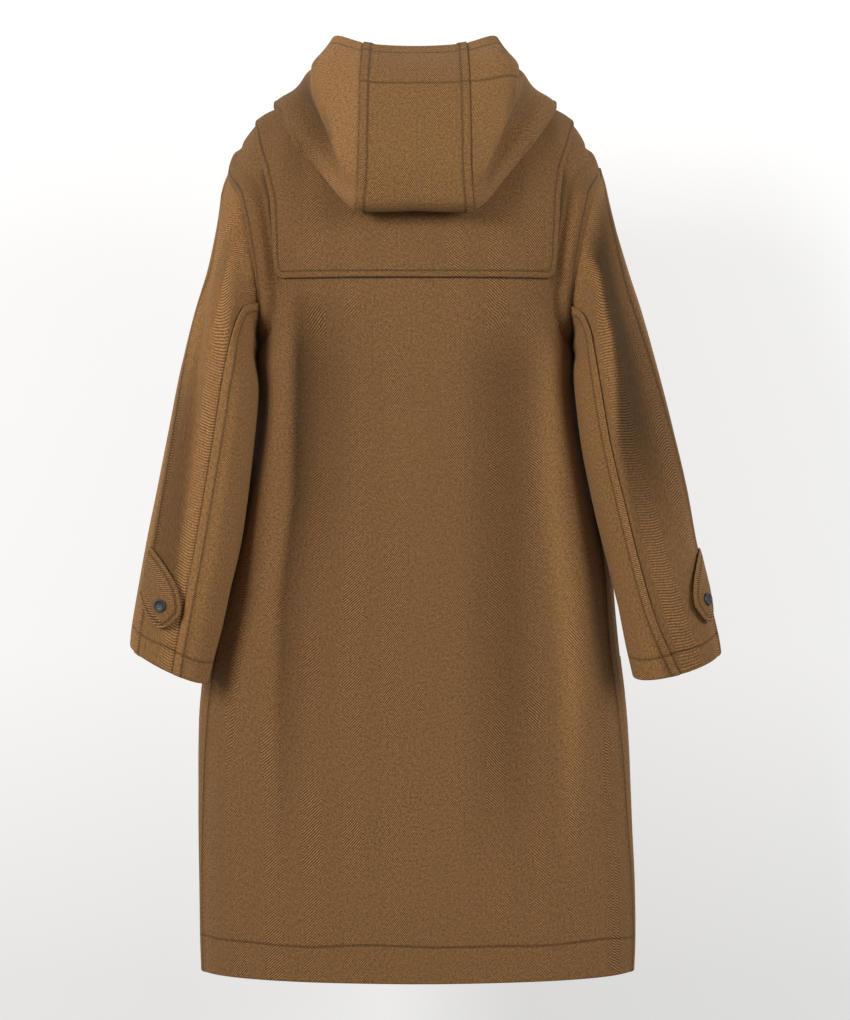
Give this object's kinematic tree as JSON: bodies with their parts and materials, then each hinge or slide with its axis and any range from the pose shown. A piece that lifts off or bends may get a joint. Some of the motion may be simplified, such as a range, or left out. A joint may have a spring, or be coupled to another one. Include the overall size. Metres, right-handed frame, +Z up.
{
  "type": "duffle coat",
  "caption": "Long hooded duffle coat in heavy wool, hood laid back, filled out as worn, with shoulder cape, cuff tabs and toggle front.",
  "frame": {"origin": "middle of the neck, level with the neck seam at its sides, where a wearer's neck and shoulders hold the coat", "axes": "+Z up, the coat's front faces -Y and its back faces +Y, the coat's own left is +X"},
  "size_m": [0.7174, 0.3167, 1.152],
  "materials": {
    "wool": "brushed herringbone coating wool, camel brown",
    "button": "semi-matt dark grey resin",
    "toggle": "dark stained and waxed",
    "cord": "round dark brown leather cord",
    "patch": "dark brown grained leather"
  },
  "bodies": {
    "root": {"back": "wool", "yoke_back": "wool", "yoke_front_left": "wool", "yoke_front_right": "wool", "front_left": "wool", "front_right": "wool", "sleeve_left_outer": "wool", "sleeve_left_under": "wool", "sleeve_right_outer": "wool", "sleeve_right_under": "wool", "hood_centre": "wool", "hood_side_left": "wool", "hood_side_right": "wool", "cuff_tab_left": "wool", "cuff_tab_right": "wool", "pocket_left": "wool", "pocket_right": "wool", "pocket_flap_left": "wool", "pocket_flap_right": "wool", "cuff_button_left": "button", "cuff_button_right": "button", "toggle_1": "toggle", "loop_1": "cord", "tie_1": "cord", "patch_left_1": "patch", "patch_right_1": "patch", "toggle_2": "toggle", "loop_2": "cord", "tie_2": "cord", "patch_left_2": "patch", "patch_right_2": "patch", "toggle_3": "toggle", "loop_3": "cord", "tie_3": "cord", "patch_left_3": "patch", "patch_right_3": "patch", "toggle_4": "toggle", "loop_4": "cord", "tie_4": "cord", "patch_left_4": "patch", "patch_right_4": "patch"}
  },
  "joints": []
}
